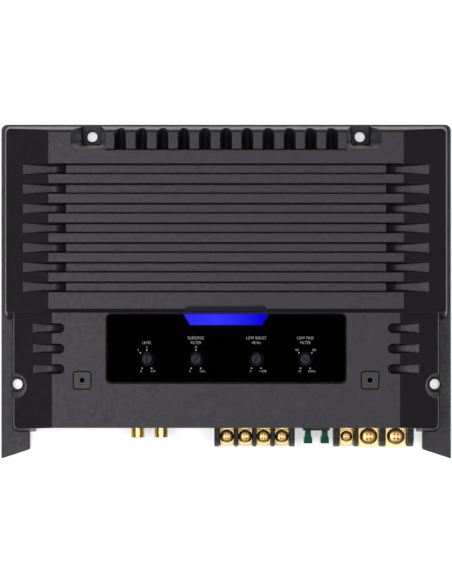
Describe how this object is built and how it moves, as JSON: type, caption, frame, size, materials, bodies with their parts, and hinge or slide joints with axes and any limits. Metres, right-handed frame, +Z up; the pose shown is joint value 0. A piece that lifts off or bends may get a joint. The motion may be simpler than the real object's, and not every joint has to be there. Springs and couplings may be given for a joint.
{
  "type": "car amplifier",
  "caption": "Single-channel car audio amplifier: finned die-cast heatsink chassis, gloss control panel with slotted trimmers, and gold screw terminals, phono sockets and blade fuses in front",
  "frame": {"origin": "Centre of the footprint, on the mounting surface under the base flange", "axes": "+X runs to the right along the fins with the terminals towards the viewer, +Y points at the toothed rear edge away from the terminals, +Z is up out of the mounting surface"},
  "size_m": [0.272, 0.202, 0.05],
  "materials": {
    "casting": "fine-textured dark grey powder coat on die-cast aluminium",
    "black_steel": "satin black coated steel sheet and screws",
    "gloss_panel": "polished black acrylic",
    "light": "blue light-guide plastic, lit from behind",
    "plastic": "moulded black plastic",
    "gold": "gold-plated brass",
    "steel": "zinc-plated steel",
    "fuse_green": "clear green fuse plastic",
    "board": "green solder-masked circuit board",
    "trimmer": "dark grey moulded plastic",
    "ferrite": "ring core under enamelled copper windings",
    "sleeve": "black component sleeve and moulding compound"
  },
  "bodies": {
    "amplifier": {"heatsink_chassis": "casting", "bottom_plate": "black_steel", "end_plate": "black_steel", "control_panel": "gloss_panel", "light_window": "light", "cover_insert_left": "black_steel", "cover_insert_right": "black_steel", "control_board": "board", "rca_housing": "plastic", "rca_shell_1": "gold", "rca_shell_2": "gold", "rca_screw": "black_steel", "speaker_block": "plastic", "power_block": "plastic", "fuse_socket": "plastic", "main_board": "board", "power_transformer": "ferrite", "output_inductor": "ferrite", "filter_capacitor_1": "sleeve", "filter_capacitor_2": "sleeve", "transistor_clamp": "steel", "bottom_screw_1": "steel", "power_transistor_1": "sleeve", "bottom_screw_2": "steel", "power_transistor_2": "sleeve", "bottom_screw_3": "steel", "power_transistor_3": "sleeve", "bottom_screw_4": "steel", "power_transistor_4": "sleeve", "level_control": "plastic", "low_cut_control": "plastic", "boost_control": "plastic", "low_pass_control": "plastic", "speaker_1_tab": "gold", "speaker_2_tab": "gold", "speaker_3_tab": "gold", "speaker_4_tab": "gold", "power_1_tab": "gold", "power_2_tab": "gold", "power_3_tab": "gold"},
    "level_trimmer": {"level_shaft": "trimmer"},
    "low_cut_trimmer": {"low_cut_shaft": "trimmer"},
    "boost_trimmer": {"boost_shaft": "trimmer"},
    "low_pass_trimmer": {"low_pass_shaft": "trimmer"},
    "speaker_1_clamp": {"speaker_1_washer": "gold"},
    "speaker_1_clamp_screw": {"speaker_1_screw": "gold"},
    "speaker_2_clamp": {"speaker_2_washer": "gold"},
    "speaker_2_clamp_screw": {"speaker_2_screw": "gold"},
    "speaker_3_clamp": {"speaker_3_washer": "gold"},
    "speaker_3_clamp_screw": {"speaker_3_screw": "gold"},
    "speaker_4_clamp": {"speaker_4_washer": "gold"},
    "speaker_4_clamp_screw": {"speaker_4_screw": "gold"},
    "power_1_clamp": {"power_1_washer": "gold"},
    "power_1_clamp_screw": {"power_1_screw": "gold"},
    "power_2_clamp": {"power_2_washer": "gold"},
    "power_2_clamp_screw": {"power_2_screw": "gold"},
    "power_3_clamp": {"power_3_washer": "gold"},
    "power_3_clamp_screw": {"power_3_screw": "gold"},
    "fuse_1_body": {"fuse_1": "fuse_green"},
    "fuse_2_body": {"fuse_2": "fuse_green"}
  },
  "joints": [
    {"name": "level_turn", "type": "hinge", "parent": "amplifier", "child": "level_trimmer", "pos_m": [-0.0468, -0.0398, 0.042], "axis": [0, 0, 1], "range_deg": [-140, 140]},
    {"name": "low_cut_turn", "type": "hinge", "parent": "amplifier", "child": "low_cut_trimmer", "pos_m": [-0.01785, -0.0398, 0.042], "axis": [0, 0, 1], "range_deg": [-170, 110]},
    {"name": "boost_turn", "type": "hinge", "parent": "amplifier", "child": "boost_trimmer", "pos_m": [0.01785, -0.0398, 0.042], "axis": [0, 0, 1], "range_deg": [-110, 170]},
    {"name": "low_pass_turn", "type": "hinge", "parent": "amplifier", "child": "low_pass_trimmer", "pos_m": [0.0468, -0.0398, 0.042], "axis": [0, 0, 1], "range_deg": [-190, 90]},
    {"name": "speaker_1_lift", "type": "slide", "parent": "amplifier", "child": "speaker_1_clamp", "axis": [0, 0, 1], "range_m": [0, 0.0028]},
    {"name": "speaker_1_screw_turn", "type": "hinge", "parent": "speaker_1_clamp", "child": "speaker_1_clamp_screw", "pos_m": [0.0005, -0.087, 0.017], "axis": [0, 0, 1], "range_deg": [0, 1441]},
    {"name": "speaker_2_lift", "type": "slide", "parent": "amplifier", "child": "speaker_2_clamp", "axis": [0, 0, 1], "range_m": [0, 0.0028]},
    {"name": "speaker_2_screw_turn", "type": "hinge", "parent": "speaker_2_clamp", "child": "speaker_2_clamp_screw", "pos_m": [0.0115, -0.087, 0.017], "axis": [0, 0, 1], "range_deg": [0, 1441]},
    {"name": "speaker_3_lift", "type": "slide", "parent": "amplifier", "child": "speaker_3_clamp", "axis": [0, 0, 1], "range_m": [0, 0.0028]},
    {"name": "speaker_3_screw_turn", "type": "hinge", "parent": "speaker_3_clamp", "child": "speaker_3_clamp_screw", "pos_m": [0.0225, -0.087, 0.017], "axis": [0, 0, 1], "range_deg": [0, 1441]},
    {"name": "speaker_4_lift", "type": "slide", "parent": "amplifier", "child": "speaker_4_clamp", "axis": [0, 0, 1], "range_m": [0, 0.0028]},
    {"name": "speaker_4_screw_turn", "type": "hinge", "parent": "speaker_4_clamp", "child": "speaker_4_clamp_screw", "pos_m": [0.0335, -0.087, 0.017], "axis": [0, 0, 1], "range_deg": [0, 1441]},
    {"name": "power_1_lift", "type": "slide", "parent": "amplifier", "child": "power_1_clamp", "axis": [0, 0, 1], "range_m": [0, 0.0024]},
    {"name": "power_1_screw_turn", "type": "hinge", "parent": "power_1_clamp", "child": "power_1_clamp_screw", "pos_m": [0.0723, -0.087, 0.017], "axis": [0, 0, 1], "range_deg": [0, 1441]},
    {"name": "power_2_lift", "type": "slide", "parent": "amplifier", "child": "power_2_clamp", "axis": [0, 0, 1], "range_m": [0, 0.0032]},
    {"name": "power_2_screw_turn", "type": "hinge", "parent": "power_2_clamp", "child": "power_2_clamp_screw", "pos_m": [0.0857, -0.087, 0.017], "axis": [0, 0, 1], "range_deg": [0, 1441]},
    {"name": "power_3_lift", "type": "slide", "parent": "amplifier", "child": "power_3_clamp", "axis": [0, 0, 1], "range_m": [0, 0.0032]},
    {"name": "power_3_screw_turn", "type": "hinge", "parent": "power_3_clamp", "child": "power_3_clamp_screw", "pos_m": [0.102, -0.087, 0.017], "axis": [0, 0, 1], "range_deg": [0, 1441]},
    {"name": "fuse_1_pull", "type": "slide", "parent": "amplifier", "child": "fuse_1_body", "axis": [0, -1, 0], "range_m": [0, 0.03]},
    {"name": "fuse_2_pull", "type": "slide", "parent": "amplifier", "child": "fuse_2_body", "axis": [0, -1, 0], "range_m": [0, 0.03]}
  ],
  "couplings": [
    {"joint": "speaker_1_screw_turn", "follows": "speaker_1_lift", "rad_per_m": 8976},
    {"joint": "speaker_2_screw_turn", "follows": "speaker_2_lift", "rad_per_m": 8976},
    {"joint": "speaker_3_screw_turn", "follows": "speaker_3_lift", "rad_per_m": 8976},
    {"joint": "speaker_4_screw_turn", "follows": "speaker_4_lift", "rad_per_m": 8976},
    {"joint": "power_1_screw_turn", "follows": "power_1_lift", "rad_per_m": 10472},
    {"joint": "power_2_screw_turn", "follows": "power_2_lift", "rad_per_m": 7854},
    {"joint": "power_3_screw_turn", "follows": "power_3_lift", "rad_per_m": 7854}
  ]
}
